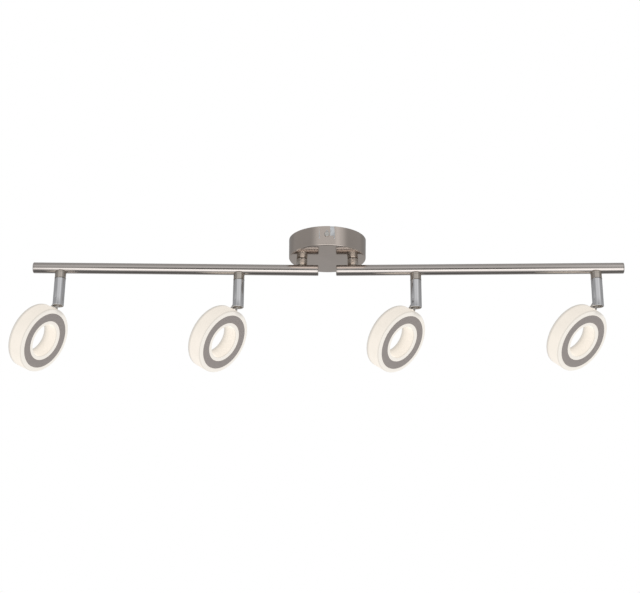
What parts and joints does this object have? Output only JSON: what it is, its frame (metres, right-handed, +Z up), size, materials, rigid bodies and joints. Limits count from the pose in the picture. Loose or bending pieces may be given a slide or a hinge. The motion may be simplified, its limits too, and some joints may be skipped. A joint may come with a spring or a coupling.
{
  "type": "ceiling spot bar",
  "caption": "Ceiling light with a round canopy, swivelling tube arms and ring-shaped LED heads that swivel and tilt.",
  "frame": {"origin": "centre of the ceiling bracket's upper face, on the ceiling plane and the canopy's axis", "axes": "+X along the right arm, +Z up into the ceiling, and the heads face -Y and down"},
  "size_m": [0.7798, 0.11, 0.1751],
  "materials": {
    "satin_nickel": "brushed satin nickel plate",
    "bright_nickel": "bright warm nickel plate",
    "chrome": "polished chrome plate",
    "zinc_steel": "bright zinc plate",
    "bright_screw": "nickel plate",
    "dark_steel": "black oxide",
    "brass": "turned brass",
    "grey_trim": "matt warm grey",
    "pale_cover": "translucent white, satin",
    "opal_acrylic": "opal, lit from inside, satin surface",
    "led_board": "white solder mask on aluminium",
    "circuit_board": "green solder mask",
    "driver_plastic": "fine matt",
    "terminal_plastic": "smooth",
    "nylon": "natural nylon",
    "lead_insulation": "silicone-insulated single-core leads"
  },
  "bodies": {
    "canopy": {"canopy": "satin_nickel", "ceiling_bracket": "zinc_steel", "canopy_screws": "bright_screw", "swivel_bushes": "nylon", "canopy_leads": "lead_insulation", "driver_case": "driver_plastic", "driver_lid": "driver_plastic", "driver_board": "circuit_board", "mains_terminal": "terminal_plastic", "terminal_screws": "brass", "earth_screw": "brass"},
    "arm_left": {"left_tube": "satin_nickel", "left_stem": "bright_nickel", "left_stem_nut": "brass", "left_end_caps": "satin_nickel", "left_leads": "lead_insulation", "head1_collar": "bright_nickel", "head1_grub_screw": "dark_steel", "head2_collar": "bright_nickel", "head2_grub_screw": "dark_steel"},
    "arm_right": {"right_tube": "satin_nickel", "right_stem": "bright_nickel", "right_stem_nut": "brass", "right_end_caps": "satin_nickel", "right_leads": "lead_insulation", "head3_collar": "bright_nickel", "head3_grub_screw": "dark_steel", "head4_collar": "bright_nickel", "head4_grub_screw": "dark_steel"},
    "post1": {"head1_post": "chrome", "head1_pivot_pin": "chrome"},
    "post2": {"head2_post": "chrome", "head2_pivot_pin": "chrome"},
    "post3": {"head3_post": "chrome", "head3_pivot_pin": "chrome"},
    "post4": {"head4_post": "chrome", "head4_pivot_pin": "chrome"},
    "head1": {"head1_light_ring": "opal_acrylic", "head1_front_trim": "grey_trim", "head1_rear_cover": "pale_cover", "head1_led_board": "led_board", "head1_knuckle": "bright_nickel"},
    "head2": {"head2_light_ring": "opal_acrylic", "head2_front_trim": "grey_trim", "head2_rear_cover": "pale_cover", "head2_led_board": "led_board", "head2_knuckle": "bright_nickel"},
    "head3": {"head3_light_ring": "opal_acrylic", "head3_front_trim": "grey_trim", "head3_rear_cover": "pale_cover", "head3_led_board": "led_board", "head3_knuckle": "bright_nickel"},
    "head4": {"head4_light_ring": "opal_acrylic", "head4_front_trim": "grey_trim", "head4_rear_cover": "pale_cover", "head4_led_board": "led_board", "head4_knuckle": "bright_nickel"}
  },
  "joints": [
    {"name": "arm_left_swivel", "type": "hinge", "parent": "canopy", "child": "arm_left", "pos_m": [-0.033, 0, -0.0413], "axis": [0, 0, 1], "range_deg": [-90, 90]},
    {"name": "arm_right_swivel", "type": "hinge", "parent": "canopy", "child": "arm_right", "pos_m": [0.033, 0, -0.0413], "axis": [0, 0, 1], "range_deg": [-90, 90]},
    {"name": "head1_swivel", "type": "hinge", "parent": "arm_left", "child": "post1", "pos_m": [-0.34441, -0.00761, -0.056], "axis": [0, 0, 1], "range_deg": [-170, 170]},
    {"name": "head2_swivel", "type": "hinge", "parent": "arm_left", "child": "post2", "pos_m": [-0.11398, -0.00198, -0.056], "axis": [0, 0, 1], "range_deg": [-170, 170]},
    {"name": "head3_swivel", "type": "hinge", "parent": "arm_right", "child": "post3", "pos_m": [0.11398, -0.00198, -0.056], "axis": [0, 0, 1], "range_deg": [-170, 170]},
    {"name": "head4_swivel", "type": "hinge", "parent": "arm_right", "child": "post4", "pos_m": [0.34441, -0.00761, -0.056], "axis": [0, 0, 1], "range_deg": [-170, 170]},
    {"name": "head1_tilt", "type": "hinge", "parent": "post1", "child": "head1", "pos_m": [-0.34441, -0.00761, -0.084], "axis": [0.3338, 0.9426, 0], "range_deg": [-27, 63]},
    {"name": "head2_tilt", "type": "hinge", "parent": "post2", "child": "head2", "pos_m": [-0.11398, -0.00198, -0.084], "axis": [0.4695, 0.8829, 0], "range_deg": [-31.8, 58.2]},
    {"name": "head3_tilt", "type": "hinge", "parent": "post3", "child": "head3", "pos_m": [0.11398, -0.00198, -0.084], "axis": [0.5736, 0.8192, 0], "range_deg": [-34.2, 55.8]},
    {"name": "head4_tilt", "type": "hinge", "parent": "post4", "child": "head4", "pos_m": [0.34441, -0.00761, -0.084], "axis": [0.6858, 0.7278, 0], "range_deg": [-38.6, 51.4]}
  ]
}
